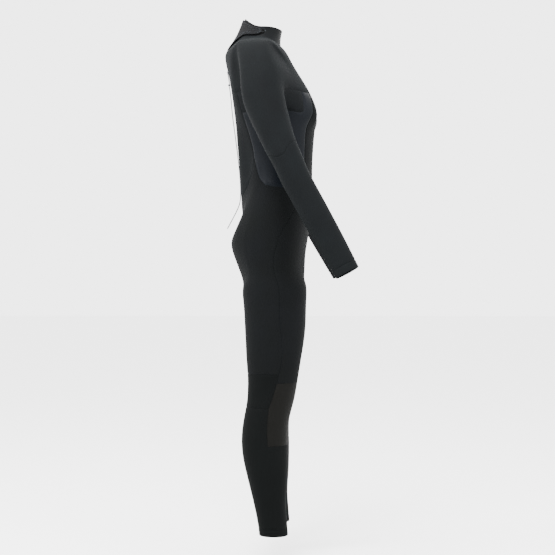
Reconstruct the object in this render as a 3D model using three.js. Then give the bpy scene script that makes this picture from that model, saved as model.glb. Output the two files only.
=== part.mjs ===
// Full-length women's wetsuit with a back zip, as a three.js scene graph.
// Millimetres, +Z up, the wearer faces -Y and their left is +X.
// The origin is the centre of the wearer's waist, which is what holds the suit up.
import * as THREE from 'three';

// ---------- driving dimensions ----------
const PANEL_THICKNESS = 4;        // neoprene with its jersey faces
const SEAM_GAP = 0.4;             // between neighbouring panels
const SUIT_WIDTH = 1;             // girth factor of the torso and legs, front view
const SUIT_DEPTH = 1;             // girth factor of the torso and legs, side view
const ARM_GIRTH = 1;              // girth factor of the sleeves
const LEG_SPREAD = 0;             // extra distance of each leg from the middle
const BUST_REACH = 20;            // how far the cup stands off the chest
const BUST_SPACING = 78;          // from the middle to each cup
const SEAT_FOLD = 34;             // depth of the fold between the buttocks at the crotch
const LAP_FOLD = 16;              // the same at the front
const SEAT_REACH = 7;             // fullness of each buttock
const HEM_HEIGHT = 20;            // turned hem at each wrist and ankle

const ZIP_TOP = 307;              // height of the zip's upper end
const ZIP_BOTTOM = -77;           // height of its lower end
const ZIP_TOP_BACK = 138;         // how far back the upper end lies
const ZIP_BOTTOM_BACK = 95.5;     // how far back the lower end lies
const ZIP_HOLLOW = 7.4;           // how far the zip's middle bows towards the body
const ZIP_SLOT_HALF = 5;          // half the slot between the back panels
const ZIP_FLAT_HALF = 36;         // half the flat strip that the zip is sewn into
const TOOTH_PITCH = 7;
const TOOTH_LENGTH = 4.4;
const TOOTH_THICKNESS = 3;
const CHAIN_HALF = 4.5;           // from the middle to the outside of a row of teeth
const CHAIN_SPLIT_HALF = 1.2;     // half the way that the slider's web runs in
const TOOTH_ROOT = 1.3;           // the strip that holds a row of teeth together
const TAPE_WIDTH = 13;
const TAPE_THICKNESS = 0.8;
const TAPE_DROP = 5.6;            // from the panel's outer face down to the tape
const BACKING_DROP = 9;           // from the panel's outer face down to the inner flap
const BACKING_THICKNESS = 2;
const BACKING_HALF = 24;
const SLIDER_LENGTH = 17;
const SLIDER_HALF = 6.2;
const SLIDER_PLATE = 1.5;
const SLIDER_CLEARANCE = 0.5;
const PULL_LENGTH = 34;
const PULL_WIDTH = 9;
const PULL_THICKNESS = 1.8;
const LEASH_DIAMETER = 2.6;
const KNOT_RADIUS = 3.2;
const CHAIN_GAP = 0.3;            // between a row of teeth and its tape
const BACKING_HEM = 9;            // how far the inner flap reaches under the panel it is sewn to
const COLLAR_FLAP_THICKNESS = 3;
const TOUCH_GAP = 0.3;            // between pieces that lie on each other
const PATCH_THICKNESS = 1.2;

// ---------- body shape: sections from the crotch to the armpit ----------
// height, back, front, half width, and where the widest point lies
const TORSO_LEVELS = [
  { z: -300, back: 92, front: -76, half: 160, side: 8 },
  { z: -262, back: 101, front: -77, half: 164, side: 8 },
  { z: -193, back: 121, front: -79, half: 167, side: 12 },
  { z: -150, back: 116, front: -86, half: 164, side: 12 },
  { z: -85, back: 95, front: -93, half: 150, side: 5 },
  { z: -30, back: 86, front: -95, half: 128, side: 0 },
  { z: 22, back: 85, front: -95, half: 118, side: -4 },
  { z: 65, back: 91, front: -97, half: 119, side: -4 },
  { z: 108, back: 103, front: -100, half: 126, side: -3 },
  { z: 150, back: 114, front: -103, half: 137, side: 2 },
  { z: 194, back: 124, front: -99, half: 148, side: 10 },
  { z: 237, back: 132, front: -82, half: 154, side: 20 },
  { z: 280, back: 136, front: -58, half: 156, side: 30 },
];
// rings over the shoulders and up the collar: the side, back and front points
const YOKE_RINGS = [
  { side: [154, 45, 341], back: [138, 326], front: [-43, 303] },
  { side: [108, 44, 359], back: [127, 350], front: [-27, 334] },
  { side: [61, 46, 375], back: [107, 386], front: [-10, 348] },
  { side: [56, 42, 389], back: [97, 410], front: [-8.5, 373] },
  { side: [55, 39, 404], back: [88.6, 432], front: [-13, 400] },
];
const SLEEVE_SECTIONS = [
  { centre: [181, 33, 220], lean: 18, width: 74, depth: 57 },
  { centre: [196, 24, 170], lean: 36, width: 61, depth: 52 },
  { centre: [204, 8, 122], lean: 58, width: 50, depth: 47 },
  { centre: [212, -12, 70], lean: 76, width: 43, depth: 42 },
  { centre: [218, -32, 27], lean: 80, width: 40, depth: 39 },
  { centre: [224, -52, -19], lean: 82, width: 38, depth: 38 },
  { centre: [229, -74, -60], lean: 83, width: 37, depth: 37 },
  { centre: [236, -110, -126], lean: 84, width: 37, depth: 37 },
  { centre: [243, -148, -195], lean: 84, width: 34, depth: 35 },
  { centre: [250, -184.6, -262], lean: 84, width: 31, depth: 32 },
];
const LEG_LEVELS = [
  { z: -300, back: 90, front: -79, half: 80, out: 88 },
  { z: -408, back: 84, front: -76.5, half: 76, out: 87 },
  { z: -451, back: 82, front: -72, half: 71, out: 86 },
  { z: -494, back: 80, front: -65, half: 65, out: 85 },
  { z: -537, back: 77, front: -58, half: 59, out: 84 },
  { z: -580, back: 77, front: -51, half: 55, out: 84 },
  { z: -623, back: 82, front: -41, half: 54, out: 85 },
  { z: -666, back: 90, front: -31, half: 55, out: 86 },
  { z: -709, back: 93, front: -30, half: 55, out: 87 },
  { z: -752, back: 89, front: -30, half: 53, out: 88 },
  { z: -795, back: 80, front: -30, half: 48, out: 89 },
  { z: -837, back: 69, front: -27, half: 43, out: 90 },
  { z: -881, back: 59, front: -25.5, half: 38.5, out: 91 },
  { z: -923, back: 50, front: -28.5, half: 36, out: 92 },
  { z: -957, back: 46, front: -31, half: 36, out: 92 },
];
const ELBOW_SECTION = 5;          // which sleeve section lies at the elbow
const ELBOW_REACH = 40;           // stretch section each side of the elbow
const KNEE_TOP = -529;            // seam across the back of the leg
const PAD_TOP = -551;
const CALF_TOP = -617;
const PAD_BOTTOM = -717;

// ---------- the seam layout on one side of the torso ----------
const REAR_SEAM = 3;              // column of the seam behind the side panel
const HOLE_FIRST = 4;             // armhole columns
const HOLE_LAST = 9;
const PRINCESS_SEAM = 10;         // column of the seam beside the front panel
const THROAT_SEAM = 13;           // column where the front panel meets the shoulder panels
const LAST = 16;                  // column beside the middle of the front
// the seam below the zip panels rises from the zip to a point, then falls along the side panel
const WAIST_SEAM_RISE = [-40, -20, 19, 86, 24, 9, 2, 0, 0, 0, -2, -6, -8, -8, -8, -8, -8];
const TORSO_ROWS = [
  { z: -262, rise: 0 },
  { z: -215, rise: 0 },
  { z: -168, rise: 0.08 },
  { z: -122, rise: 0.3 },
  { z: -80, rise: 0.62 },
  { z: -37, rise: 1 },
  { z: 6, rise: 0.84 },
  { z: 48, rise: 0.6 },
  { z: 88, rise: 0.36 },
  { z: 127, rise: 0.12 },
  { z: 163, rise: 0 },
  { z: 219, rise: 0 },
  { z: 272, rise: 0 },
];
const WAIST_ROW = 5;
const ARMPIT_ROW = 10;
const CHEST_ROW = 11;
const SHOULDER_ROW = 13;
const NECK_ROW = 15;
const TOP_ROW = 17;
const LEG_ROWS = [
  -300, -345, -395, -443, -488, KNEE_TOP, PAD_TOP, -585, CALF_TOP, -667, PAD_BOTTOM,
  -765, -815, -865, -905, -957 + HEM_HEIGHT, -957,
];
const CROTCH_STEPS = 3;           // points of the crotch strip between front and back
const CROTCH_DIP = 15;

const { sin, cos, sqrt, abs, sign, atan2, hypot, min, max, PI } = Math;
const DEG = PI / 180;

// A smooth value through a list of stations, by finite-difference tangents.
function along(stations, z, name) {
  const rising = stations[0].z < stations[1].z ? stations : [...stations].reverse();
  const last = rising.length - 1;
  if (z <= rising[0].z) return rising[0][name];
  if (z >= rising[last].z) return rising[last][name];
  const k = rising.findIndex((s, i) => i < last && z <= rising[i + 1].z);
  const slope = (i) => {
    const a = rising[max(i - 1, 0)];
    const b = rising[min(i + 1, last)];
    return (b[name] - a[name]) / (b.z - a.z);
  };
  const span = rising[k + 1].z - rising[k].z;
  const t = (z - rising[k].z) / span;
  return rising[k][name] * (1 + 2 * t) * (1 - t) ** 2 + slope(k) * span * t * (1 - t) ** 2
    + rising[k + 1][name] * t * t * (3 - 2 * t) + slope(k + 1) * span * t * t * (t - 1);
}

const blend = (a, b, t) => a + (b - a) * t;
const smooth = (t) => min(max(t, 0), 1) ** 2 * (3 - 2 * min(max(t, 0), 1));
const power = (value, n) => sign(value) * abs(value) ** n;

// ---------- the zip's line, an arc bowing towards the body ----------
const zipMiddle = [(ZIP_TOP_BACK + ZIP_BOTTOM_BACK) / 2, (ZIP_TOP + ZIP_BOTTOM) / 2];
const zipChord = hypot(ZIP_TOP_BACK - ZIP_BOTTOM_BACK, ZIP_TOP - ZIP_BOTTOM);
const zipRadius = zipChord ** 2 / (8 * ZIP_HOLLOW) + ZIP_HOLLOW / 2;
const zipNormal = [(ZIP_TOP - ZIP_BOTTOM) / zipChord, -(ZIP_TOP_BACK - ZIP_BOTTOM_BACK) / zipChord];
const zipCentre = zipMiddle.map((m, k) => m + (zipRadius - ZIP_HOLLOW) * zipNormal[k]);
const zipBackAt = (z) => zipCentre[0] - sqrt(zipRadius ** 2 - (z - zipCentre[1]) ** 2);
const zipAngleAt = (z) => atan2(z - zipCentre[1], zipCentre[0] - zipBackAt(z));
const zipLength = zipRadius * (zipAngleAt(ZIP_TOP) - zipAngleAt(ZIP_BOTTOM));
const zipMiddleAngle = (zipAngleAt(ZIP_TOP) + zipAngleAt(ZIP_BOTTOM)) / 2;

// A place given across the zip, out from its face, and along it from its middle.
function onZip(across, out, alongZip) {
  const angle = zipMiddleAngle + alongZip / zipRadius;
  const r = zipRadius - out;
  return new THREE.Vector3(across, zipCentre[0] - r * cos(angle), zipCentre[1] + r * sin(angle));
}

// ---------- the torso's outer surface ----------
// Angle from the middle of the back (0) to the middle of the front (180).
function columnAngle(column, z) {
  const rear = blend(48, 40, smooth((z - 60) / 160));
  const princess = z > 30
    ? blend(138, 152, smooth((z - 130) / 90))
    : blend(92, 138, smooth((z + 240) / 250));
  if (column <= REAR_SEAM) return rear * column / REAR_SEAM;
  if (column <= PRINCESS_SEAM) {
    return blend(rear, princess, (column - REAR_SEAM) / (PRINCESS_SEAM - REAR_SEAM));
  }
  return blend(princess, 180, (column - PRINCESS_SEAM) / (LAST - PRINCESS_SEAM));
}

function bump(x, z, x0, z0, wide, tall) {
  return Math.exp(-(((x - x0) / wide) ** 2) - ((z - z0) / tall) ** 2);
}

function torsoPoint(row, column) {
  if (row >= SHOULDER_ROW) return yokePoint(row - SHOULDER_ROW, column);
  const { z: level, rise } = TORSO_ROWS[row];
  const z = level + rise * WAIST_SEAM_RISE[column];
  const angle = columnAngle(column, z) * DEG;
  const half = along(TORSO_LEVELS, z, 'half') * SUIT_WIDTH;
  const side = along(TORSO_LEVELS, z, 'side') * SUIT_DEPTH;
  const end = along(TORSO_LEVELS, z, cos(angle) > 0 ? 'back' : 'front') * SUIT_DEPTH;
  let x = half * power(sin(angle), 0.88);
  let y = side + (end - side) * abs(power(cos(angle), 0.88));
  y -= BUST_REACH * bump(x, z, BUST_SPACING, 180, 44, 36) * smooth(-cos(angle) * 2);
  y += SEAT_REACH * bump(x, z, 78, -165, 50, 60) * smooth(cos(angle) * 2);
  const zipped = smooth((z + 170) / 60);
  if (column === 0) {
    x = ZIP_SLOT_HALF;
    y = blend(y, zipBackAt(z), zipped);
  }
  if (column === 1) {
    x = blend(x, ZIP_FLAT_HALF, zipped);
    y = blend(y, zipBackAt(z) - 1, zipped);
  }
  if (column === LAST) x = ZIP_SLOT_HALF;
  // the seat and the lap fold in towards the crotch along the middle
  const fold = bump(x, z, 0, -270, 26, 42);
  y -= fold * (cos(angle) > 0 ? SEAT_FOLD : -LAP_FOLD);
  return new THREE.Vector3(x, y, z);
}

// A place on one of the rings over the shoulders and up the neck, turned from the middle of the back.
function onYokeRing(ring, angle) {
  const { side, back, front } = YOKE_RINGS[ring];
  const a = angle * DEG;
  const end = cos(a) > 0 ? back : front;
  return new THREE.Vector3(
    side[0] * SUIT_WIDTH * power(sin(a), 0.92),
    (side[1] + (end[0] - side[1]) * abs(power(cos(a), 0.92))) * SUIT_DEPTH,
    blend(side[2], end[1], cos(a) ** 2));
}

function yokePoint(ring, column) {
  const rear = blend(44, 34, ring / 4);
  const angle = column <= REAR_SEAM
    ? rear * column / REAR_SEAM
    : blend(rear, 180, (column - REAR_SEAM) / (LAST - REAR_SEAM));
  let { x, y, z } = onYokeRing(ring, angle);
  if (column === 0 || column === LAST) x = ZIP_SLOT_HALF;
  if (ring === 0 && column === 0) y = zipBackAt(z);
  if (ring === 0 && column === 1) {
    x = ZIP_FLAT_HALF;
    y = zipBackAt(z) - 1;
  }
  return new THREE.Vector3(x, y, z);
}

// ---------- the cage: shared points and labelled four-sided faces ----------
const points = [];
const numbers = new Map();
const faces = [];

function number(key, makePoint) {
  if (!numbers.has(key)) {
    numbers.set(key, points.length);
    points.push(makePoint());
  }
  return numbers.get(key);
}

// Adds a face whose corners run anticlockwise seen from outside on the wearer's left.
function addFace(hand, corners, label) {
  const [a, b, c, d] = corners;
  faces.push({ corners: hand > 0 ? [a, b, c, d] : [a, d, c, b], label });
}

const mirrored = (hand, v) => new THREE.Vector3(v.x * hand, v.y, v.z);
const torsoNumber = (hand, row, column) =>
  number(`torso ${hand} ${row} ${column}`, () => mirrored(hand, torsoPoint(row, column)));

const inArmhole = (row, column) =>
  row >= ARMPIT_ROW && row < SHOULDER_ROW && column >= HOLE_FIRST && column < HOLE_LAST;

function torsoLabel(row, column, hand) {
  const name = hand > 0 ? 'left' : 'right';
  if (row >= NECK_ROW) return 'collar';
  if (row >= CHEST_ROW) return column >= THROAT_SEAM ? 'front_panel' : `shoulder_panel_${name}`;
  if (column >= PRINCESS_SEAM) return 'front_panel';
  if (row < WAIST_ROW) return `seat_panel_${name}`;
  if (column < REAR_SEAM) return `zip_panel_${name}`;
  if (row === ARMPIT_ROW && column < HOLE_FIRST) return `underarm_panel_${name}`;
  return `side_panel_${name}`;
}

for (const hand of [1, -1]) {
  for (let row = 0; row < TOP_ROW; row++) {
    for (let column = 0; column < LAST; column++) {
      if (inArmhole(row, column)) continue;
      addFace(hand, [
        torsoNumber(hand, row, column + 1),
        torsoNumber(hand, row, column),
        torsoNumber(hand, row + 1, column),
        torsoNumber(hand, row + 1, column + 1),
      ], torsoLabel(row, column, hand));
    }
  }
}
// the narrow strips down the middle of the front and, below the zip, of the back
for (let row = 0; row < TOP_ROW; row++) {
  const label = row >= NECK_ROW ? 'collar' : 'front_panel';
  addFace(1, [
    torsoNumber(-1, row, LAST), torsoNumber(1, row, LAST),
    torsoNumber(1, row + 1, LAST), torsoNumber(-1, row + 1, LAST),
  ], label);
  if (row >= WAIST_ROW) continue;
  addFace(1, [
    torsoNumber(1, row, 0), torsoNumber(-1, row, 0),
    torsoNumber(-1, row + 1, 0), torsoNumber(1, row + 1, 0),
  ], 'seat_panel_left');
}

// ---------- legs ----------
const LEG_AROUND = LAST + CROTCH_STEPS + 1;

function crotchPoint(step) {
  const front = torsoPoint(0, LAST);
  const back = torsoPoint(0, 0);
  const t = step / (CROTCH_STEPS + 1);
  const dip = CROTCH_DIP * sin(PI * t);
  return new THREE.Vector3(ZIP_SLOT_HALF, blend(front.y, back.y, t), front.z - dip);
}

function legAngle(index, z) {
  const seam = 100 + 8 * bump(0, z, 0, -480, 1, 60) - 10 * bump(0, z, 0, -625, 1, 45);
  if (index <= PRINCESS_SEAM) return blend(-50, seam, index / PRINCESS_SEAM);
  if (index <= LAST) return blend(seam, 230, (index - PRINCESS_SEAM) / (LAST - PRINCESS_SEAM));
  return 230 + 80 * (index - LAST) / (CROTCH_STEPS + 1);
}

function legPoint(row, index) {
  const z = LEG_ROWS[row];
  const angle = legAngle(index, z) * DEG;
  const back = along(LEG_LEVELS, z, 'back') * SUIT_DEPTH;
  const front = along(LEG_LEVELS, z, 'front') * SUIT_DEPTH;
  const half = along(LEG_LEVELS, z, 'half') * SUIT_WIDTH;
  const out = along(LEG_LEVELS, z, 'out') * SUIT_WIDTH + LEG_SPREAD;
  const x = out + half * sin(angle);
  return new THREE.Vector3(x, (back + front) / 2 + (back - front) / 2 * cos(angle), z);
}

const legNumber = (hand, row, index) => {
  const around = index % LEG_AROUND;
  if (row >= 0) {
    return number(`leg ${hand} ${row} ${around}`, () => mirrored(hand, legPoint(row, around)));
  }
  if (around <= LAST) return torsoNumber(hand, 0, around);
  const step = around - LAST;
  return number(`crotch ${hand} ${step}`, () => mirrored(hand, crotchPoint(step)));
};

function legLabel(row, index, hand) {
  const name = hand > 0 ? 'left' : 'right';
  const z = row < 0 ? -280 : LEG_ROWS[row];
  const isFront = index >= PRINCESS_SEAM && index < LAST;
  if (row === LEG_ROWS.length - 2) return `ankle_hem_${name}`;
  if (z <= PAD_BOTTOM) return `calf_panel_${name}`;
  if (isFront && z <= PAD_TOP) return `knee_pad_${name}`;
  if (isFront) return `front_thigh_${name}`;
  if (z <= CALF_TOP) return `calf_panel_${name}`;
  if (z <= KNEE_TOP) return `knee_bend_${name}`;
  if (index >= LAST && row < 1) return 'crotch_gusset';
  return `back_thigh_${name}`;
}

for (const hand of [1, -1]) {
  for (let row = -1; row < LEG_ROWS.length - 1; row++) {
    for (let index = 0; index < LEG_AROUND; index++) {
      addFace(hand, [
        legNumber(hand, row + 1, index + 1),
        legNumber(hand, row + 1, index),
        legNumber(hand, row, index),
        legNumber(hand, row, index + 1),
      ], legLabel(row, index, hand));
    }
  }
}
for (let step = 0; step <= CROTCH_STEPS; step++) {
  addFace(1, [
    legNumber(1, -1, LAST + step), legNumber(-1, -1, LAST + step),
    legNumber(-1, -1, LAST + step + 1), legNumber(1, -1, LAST + step + 1),
  ], 'crotch_gusset');
}

// ---------- sleeves ----------
const armholeLoop = [];
for (let column = HOLE_FIRST; column < HOLE_LAST; column++) armholeLoop.push([ARMPIT_ROW, column]);
for (let row = ARMPIT_ROW; row < SHOULDER_ROW; row++) armholeLoop.push([row, HOLE_LAST]);
for (let column = HOLE_LAST; column > HOLE_FIRST; column--) armholeLoop.push([SHOULDER_ROW, column]);
for (let row = SHOULDER_ROW; row > ARMPIT_ROW; row--) armholeLoop.push([row, HOLE_FIRST]);
const SLEEVE_AROUND = armholeLoop.length;
const SLEEVE_START = (HOLE_LAST - HOLE_FIRST) / 2;   // the middle of the armpit edge
const FRONT_ARM_SEAM = HOLE_LAST - HOLE_FIRST + 1;
const REAR_ARM_SEAM = SLEEVE_AROUND - 1;

const armLine = new THREE.CatmullRomCurve3(
  SLEEVE_SECTIONS.map((s) => new THREE.Vector3(...s.centre)), false, 'centripetal');

// One point of a sleeve section; "at" counts sections and may lie between two.
function sleevePoint(at, index) {
  const last = SLEEVE_SECTIONS.length - 1;
  const k = min(Math.floor(at), last - 1);
  const t = at - k;
  const mix = (name) => blend(SLEEVE_SECTIONS[k][name], SLEEVE_SECTIONS[k + 1][name], t);
  const centre = armLine.getPoint(at / last);
  const way = armLine.getTangent(min(at / last, 1));
  const lean = mix('lean') * DEG;
  const front = new THREE.Vector3(0, -1, 0);
  front.addScaledVector(way, -front.dot(way)).normalize();
  const outward = new THREE.Vector3(sin(lean), 0, cos(lean));
  outward.addScaledVector(front, -outward.dot(front)).normalize();
  const turn = (index - SLEEVE_START) / SLEEVE_AROUND * 2 * PI;
  return centre
    .addScaledVector(outward, -cos(turn) * mix('width') * ARM_GIRTH)
    .addScaledVector(front, sin(turn) * mix('depth') * ARM_GIRTH);
}

// how far along the sleeve, in sections, a place lies that is a distance from the elbow
function fromElbow(distance) {
  const elbow = ELBOW_SECTION;
  const next = elbow + sign(distance);
  const a = new THREE.Vector3(...SLEEVE_SECTIONS[elbow].centre);
  const b = new THREE.Vector3(...SLEEVE_SECTIONS[next].centre);
  return elbow + distance / a.distanceTo(b);
}
const hemShare = HEM_HEIGHT / new THREE.Vector3(...SLEEVE_SECTIONS.at(-1).centre)
  .distanceTo(new THREE.Vector3(...SLEEVE_SECTIONS.at(-2).centre));
const SLEEVE_ROWS = [
  0, 1, 2, 2.8, 3.35, fromElbow(-ELBOW_REACH), ELBOW_SECTION, fromElbow(ELBOW_REACH),
  6.7, 7.5, 8.2, 9 - hemShare, 9,
];
const POINT_ROW = 4;              // the outer sleeve panel ends in a point on this row
const ELBOW_TOP_ROW = 5;
const ELBOW_LOW_ROW = 7;
// the outer sleeve panel's rounded end hangs lowest behind the middle of the outer face
const pointDrop = (index) => 0.55 * Math.exp(-(((index - 11.4) / 1.8) ** 2));

const sleeveNumber = (hand, row, index) => {
  const around = index % SLEEVE_AROUND;
  if (row < 0) return torsoNumber(hand, ...armholeLoop[around]);
  const drop = row === POINT_ROW ? pointDrop(around) : 0;
  const before = row === POINT_ROW - 1 ? pointDrop(around) * 0.4 : 0;
  return number(`sleeve ${hand} ${row} ${around}`,
    () => mirrored(hand, sleevePoint(SLEEVE_ROWS[row] + drop + before, around)));
};

function sleeveLabel(row, index, hand) {
  const name = hand > 0 ? 'left' : 'right';
  if (row === SLEEVE_ROWS.length - 2) return `wrist_hem_${name}`;
  if (row >= ELBOW_LOW_ROW) return `forearm_panel_${name}`;
  if (row >= ELBOW_TOP_ROW) return `elbow_bend_${name}`;
  const isOuter = index >= FRONT_ARM_SEAM && index < REAR_ARM_SEAM;
  return isOuter && row < POINT_ROW ? `shoulder_panel_${name}` : `underarm_panel_${name}`;
}

for (const hand of [1, -1]) {
  for (let row = -1; row < SLEEVE_ROWS.length - 1; row++) {
    for (let index = 0; index < SLEEVE_AROUND; index++) {
      addFace(hand, [
        sleeveNumber(hand, row, index + 1),
        sleeveNumber(hand, row, index),
        sleeveNumber(hand, row + 1, index),
        sleeveNumber(hand, row + 1, index + 1),
      ], sleeveLabel(row, index, hand));
    }
  }
}

// ---------- panels: each label's faces made into one closed sheet of neoprene ----------
const normals = points.map(() => new THREE.Vector3());
for (const { corners } of faces) {
  const [a, b, c, d] = corners.map((n) => points[n]);
  const normal = new THREE.Vector3().subVectors(c, a).cross(new THREE.Vector3().subVectors(d, b));
  for (const n of corners) normals[n].add(normal);
}
for (const normal of normals) normal.normalize();

function closedMesh(positions, triangles) {
  const geometry = new THREE.BufferGeometry();
  geometry.setAttribute('position', new THREE.Float32BufferAttribute(positions.flatMap((p) => p.toArray()), 3));
  geometry.setIndex(triangles.flat());
  geometry.computeVertexNormals();
  return geometry;
}

function panelGeometry(label, thickness = PANEL_THICKNESS) {
  const own = faces.filter((face) => face.label === label);
  const edges = new Map();
  for (const { corners } of own) {
    corners.forEach((n, k) => edges.set(`${n} ${corners[(k + 1) % 4]}`, [n, corners[(k + 1) % 4]]));
  }
  const rim = [...edges.values()].filter(([a, b]) => !edges.has(`${b} ${a}`));
  const inset = new Map();
  for (const [a, b] of rim) {
    const way = new THREE.Vector3().subVectors(points[b], points[a]).normalize();
    for (const n of [a, b]) {
      const inward = new THREE.Vector3().crossVectors(normals[n], way).normalize();
      if (!inset.has(n)) inset.set(n, []);
      inset.get(n).push(inward);
    }
  }
  const place = new Map();
  const positions = [];
  for (const n of new Set(own.flatMap((face) => face.corners))) {
    const outer = points[n].clone();
    if (inset.has(n)) {
      const [u, v] = inset.get(n);
      const shift = u.clone().add(v);
      outer.addScaledVector(shift, SEAM_GAP / 2 * 2 / max(shift.lengthSq(), 0.6));
    }
    place.set(n, positions.length);
    positions.push(outer, outer.clone().addScaledVector(normals[n], -thickness));
  }
  const triangles = [];
  for (const { corners } of own) {
    const [a, b, c, d] = corners.map((n) => place.get(n));
    const gap = (m, n) => positions[m].distanceTo(positions[n]);
    const [p, q, r, s] = gap(a, c) < gap(b, d) + 0.01 ? [a, b, c, d] : [b, c, d, a];
    triangles.push([p, q, r], [p, r, s]);
    triangles.push([p + 1, r + 1, q + 1], [p + 1, s + 1, r + 1]);
  }
  for (const [m, n] of rim) {
    const a = place.get(m);
    const b = place.get(n);
    // both panels at a seam split its wall along the same line
    if (m < n) triangles.push([a, a + 1, b + 1], [a, b + 1, b]);
    else triangles.push([a, a + 1, b], [a + 1, b + 1, b]);
  }
  return closedMesh(positions, triangles);
}

const neoprene = (color, roughness) =>
  new THREE.MeshStandardMaterial({ color, roughness, metalness: 0 });
const LOOKS = {
  shoulder_panel: neoprene('#2f3437', 0.8),
  front_panel: neoprene('#2a2d30', 0.8),
  side_panel: neoprene('#1f2022', 0.65),
  zip_panel: neoprene('#2d3134', 0.8),
  underarm_panel: neoprene('#2b2f32', 0.8),
  elbow_bend: neoprene('#2a2d31', 0.8),
  forearm_panel: neoprene('#282b2f', 0.8),
  wrist_hem: neoprene('#2a2b2d', 0.8),
  collar: neoprene('#26282a', 0.7),
  seat_panel: neoprene('#282b2e', 0.8),
  back_thigh: neoprene('#222528', 0.8),
  front_thigh: neoprene('#1c1e20', 0.8),
  crotch_gusset: neoprene('#1c1e20', 0.8),
  knee_bend: neoprene('#1b1d1f', 0.8),
  knee_pad: neoprene('#191918', 0.9),
  calf_panel: neoprene('#17191b', 0.8),
  ankle_hem: neoprene('#17171a', 0.8),
};
const webbing = new THREE.MeshStandardMaterial({ color: '#141517', roughness: 0.9 });
const plush = new THREE.MeshStandardMaterial({ color: '#3a3a3a', roughness: 1 });
const acetal = new THREE.MeshStandardMaterial({ color: '#232426', roughness: 0.45 });
const dullMetal = new THREE.MeshStandardMaterial({ color: '#4a4b4d', roughness: 0.4, metalness: 0.8 });
const greyCord = new THREE.MeshStandardMaterial({ color: '#77797a', roughness: 0.9 });

const suit = new THREE.Group();

function addPiece(name, geometry, material) {
  const mesh = new THREE.Mesh(geometry, material);
  mesh.name = name;
  suit.add(mesh);
  return mesh;
}

for (const label of [...new Set(faces.map((face) => face.label))].sort()) {
  addPiece(label, panelGeometry(label), LOOKS[label.replace(/_(left|right)$/, '')]);
}

// ---------- zip ----------
// A closed solid from a flat outline repeated in layers; each layer places the outline's points.
function layeredSolid(outline, layers) {
  const flat = outline.map((p) => new THREE.Vector2(...p));
  if (THREE.ShapeUtils.area(flat) < 0) flat.reverse();
  const around = flat.length;
  const positions = layers.flatMap((layer) => flat.map((p) => layer(p.x, p.y)));
  const triangles = [];
  for (let k = 0; k < layers.length - 1; k++) {
    for (let i = 0; i < around; i++) {
      const a = k * around + i;
      const b = k * around + (i + 1) % around;
      triangles.push([a, b, b + around], [a, b + around, a + around]);
    }
  }
  const end = (layers.length - 1) * around;
  for (const [a, b, c] of THREE.ShapeUtils.triangulateShape(flat, [])) {
    const turn = THREE.ShapeUtils.area([flat[a], flat[b], flat[c]]) > 0;
    const [p, q] = turn ? [b, c] : [c, b];
    triangles.push([a, q, p], [a + end, p + end, q + end]);
  }
  return outward(closedMesh(positions, triangles));
}

// Extrudes an outline given across and out from the zip along a stretch of it.
function alongZipGeometry(outline, from, to, steps) {
  return layeredSolid(outline, Array.from({ length: steps + 1 }, (_, k) =>
    (across, out) => onZip(across, out, blend(from, to, k / steps))));
}

const rectangle = (x0, x1, y0, y1) => [[x0, y1], [x1, y1], [x1, y0], [x0, y0]];
const zipHalf = zipLength / 2;
const TEETH_OUT = -TAPE_DROP + TOOTH_THICKNESS / 2 + 0.6;
const FIRST_TOOTH = -zipHalf + 6;

// A row of teeth joined by a strip along their outside. Each station along the zip holds three
// places across, the tooth's tip, its root and the strip's outside, on the upper and lower face.
function teethGeometry(hand) {
  const count = Math.floor((zipLength - 14) / TOOTH_PITCH);
  const positions = [];
  const triangles = [];
  const quad = (a, b, c, d) => triangles.push([a, b, c], [a, c, d]);
  const station = (along) => {
    for (const across of [CHAIN_SPLIT_HALF, CHAIN_HALF - TOOTH_ROOT, CHAIN_HALF]) {
      for (const side of [0.5, -0.5]) {
        positions.push(onZip(hand * across, TEETH_OUT + side * TOOTH_THICKNESS, along));
      }
    }
    return positions.length - 6;
  };
  let last = null;
  for (let k = 0; k < count; k++) {
    const a = station(FIRST_TOOTH + k * TOOTH_PITCH);
    const b = station(FIRST_TOOTH + k * TOOTH_PITCH + TOOTH_LENGTH);
    for (const [c, d, tipped] of last === null ? [[a, b, true]] : [[last, a, false], [a, b, true]]) {
      quad(c + 2, d + 2, d + 4, c + 4);
      quad(c + 3, c + 5, d + 5, d + 3);
      quad(c + 4, d + 4, d + 5, c + 5);
      if (tipped) {
        quad(c, d, d + 2, c + 2);
        quad(c + 1, c + 3, d + 3, d + 1);
        quad(c, c + 1, d + 1, d);
      } else {
        quad(c + 2, c + 3, d + 3, d + 2);
      }
    }
    quad(a, a + 2, a + 3, a + 1);
    quad(b, b + 1, b + 3, b + 2);
    if (k === 0) quad(a + 2, a + 4, a + 5, a + 3);
    if (k === count - 1) quad(b + 2, b + 3, b + 5, b + 4);
    last = b;
  }
  return outward(closedMesh(positions, triangles));
}

// Turns a closed geometry the right way out if its faces point in.
function outward(geometry) {
  const p = geometry.getAttribute('position');
  const index = geometry.getIndex();
  const [a, b, c] = [new THREE.Vector3(), new THREE.Vector3(), new THREE.Vector3()];
  let volume = 0;
  for (let i = 0; i < index.count; i += 3) {
    a.fromBufferAttribute(p, index.getX(i));
    b.fromBufferAttribute(p, index.getX(i + 1));
    c.fromBufferAttribute(p, index.getX(i + 2));
    volume += a.dot(b.cross(c));
  }
  if (volume < 0) {
    for (let i = 0; i < index.count; i += 3) {
      const first = index.getX(i);
      index.setX(i, index.getX(i + 1));
      index.setX(i + 1, first);
    }
  }
  geometry.computeVertexNormals();
  return geometry;
}

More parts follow.
